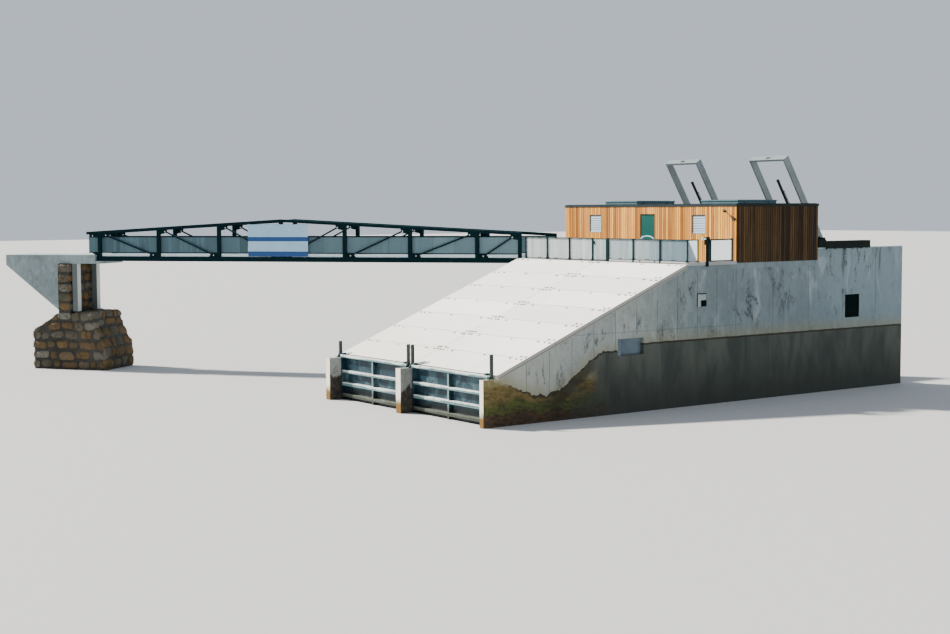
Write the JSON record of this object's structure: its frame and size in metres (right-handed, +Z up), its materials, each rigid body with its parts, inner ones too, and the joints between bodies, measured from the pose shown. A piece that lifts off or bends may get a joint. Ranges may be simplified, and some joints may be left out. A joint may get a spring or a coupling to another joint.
{
  "type": "archimedes screw turbine",
  "caption": "River power plant with screw turbines in troughs under a sloping slab cover, with a timber powerhouse, outlet and intake gates and a truss footbridge to the bank.",
  "frame": {"origin": "on the plant's centre line below the powerhouse front, at the foot of the walls at tailwater level", "axes": "+X upstream, +Y across to the far bank that the footbridge reaches, +Z up"},
  "size_m": [32.8564, 37.598, 11.2954],
  "materials": {
    "wall_concrete": "cast concrete, weathered",
    "cover_concrete": "precast concrete, smooth",
    "masonry": "rough stone",
    "sunlit_boards": "larch boards, oiled",
    "dark_boards": "larch boards, oiled",
    "roof_metal": "matt",
    "door_paint": "satin",
    "outlet_gate_steel": "satin, wet at the foot",
    "cylinder_paint": "gloss",
    "screw_steel": "satin",
    "bridge_paint": "satin",
    "bridge_deck": "galvanised",
    "galvanised": "galvanised",
    "white_panel": "satin",
    "green_steel": "satin",
    "banner_cloth": "coated cloth, blank"
  },
  "bodies": {
    "plant": {"abutment_masonry": "masonry", "banner": "banner_cloth", "bridge_abutment": "wall_concrete", "bridge_deck": "bridge_deck", "bridge_truss_far": "bridge_paint", "bridge_truss_near": "bridge_paint", "control_post": "green_steel", "cover_row_1": "cover_concrete", "cover_row_2": "cover_concrete", "cover_row_3": "cover_concrete", "cover_row_4": "cover_concrete", "cover_row_5": "cover_concrete", "cover_row_6": "cover_concrete", "cover_row_7": "cover_concrete", "deck_hoop": "galvanised", "deck_slab": "wall_concrete", "drain_flap": "galvanised", "far_side_wall": "dark_boards", "far_wall": "wall_concrete", "front_wall_far": "sunlit_boards", "front_wall_near": "sunlit_boards", "front_wall_over_door": "sunlit_boards", "gate_guide_far": "galvanised", "gate_guide_near": "galvanised", "gate_post_1": "green_steel", "gate_post_2": "green_steel", "gate_post_3": "green_steel", "gate_post_4": "green_steel", "hydraulic_cylinder_far": "cylinder_paint", "hydraulic_cylinder_near": "cylinder_paint", "intake_deck": "wall_concrete", "intake_wall_far": "wall_concrete", "intake_wall_near": "wall_concrete", "middle_wall": "wall_concrete", "near_side_wall": "dark_boards", "near_wall": "wall_concrete", "railing_far": "green_steel", "railing_near": "green_steel", "railing_panel": "white_panel", "rear_wall": "dark_boards", "roof": "roof_metal", "roof_hatch_far": "roof_metal", "roof_hatch_near": "roof_metal", "screw_far": "screw_steel", "screw_near": "screw_steel", "trough_far": "wall_concrete", "trough_near": "wall_concrete", "vent_far": "galvanised", "vent_near": "galvanised", "wall_duct": "green_steel", "wall_shutter": "green_steel"},
    "door": {"door": "door_paint"},
    "intake_gate_far": {"intake_gate_far": "galvanised"},
    "intake_gate_near": {"intake_gate_near": "galvanised"},
    "outlet_gate_far": {"outlet_gate_far": "outlet_gate_steel"},
    "outlet_gate_near": {"outlet_gate_near": "outlet_gate_steel"},
    "railing_gate": {"railing_gate": "green_steel"}
  },
  "joints": [
    {"name": "outlet_gate_near_slide", "type": "slide", "parent": "plant", "child": "outlet_gate_near", "axis": [0, 0, 1], "range_m": [0, 0.85]},
    {"name": "outlet_gate_far_slide", "type": "slide", "parent": "plant", "child": "outlet_gate_far", "axis": [0, 0, 1], "range_m": [0, 0.85]},
    {"name": "door_hinge", "type": "hinge", "parent": "plant", "child": "door", "pos_m": [-0.015, -0.665, 7.4], "axis": [0, 0, 1], "range_deg": [0, 100]},
    {"name": "railing_gate_hinge", "type": "hinge", "parent": "plant", "child": "railing_gate", "pos_m": [-2.925, -0.568, 6.8], "axis": [0, 0, -1], "range_deg": [0, 95]},
    {"name": "intake_gate_near_slide", "type": "slide", "parent": "plant", "child": "intake_gate_near", "axis": [-0.5299, 0, 0.848], "range_m": [-1.77, 0]},
    {"name": "intake_gate_far_slide", "type": "slide", "parent": "plant", "child": "intake_gate_far", "axis": [-0.5299, 0, 0.848], "range_m": [-1.77, 0]}
  ]
}
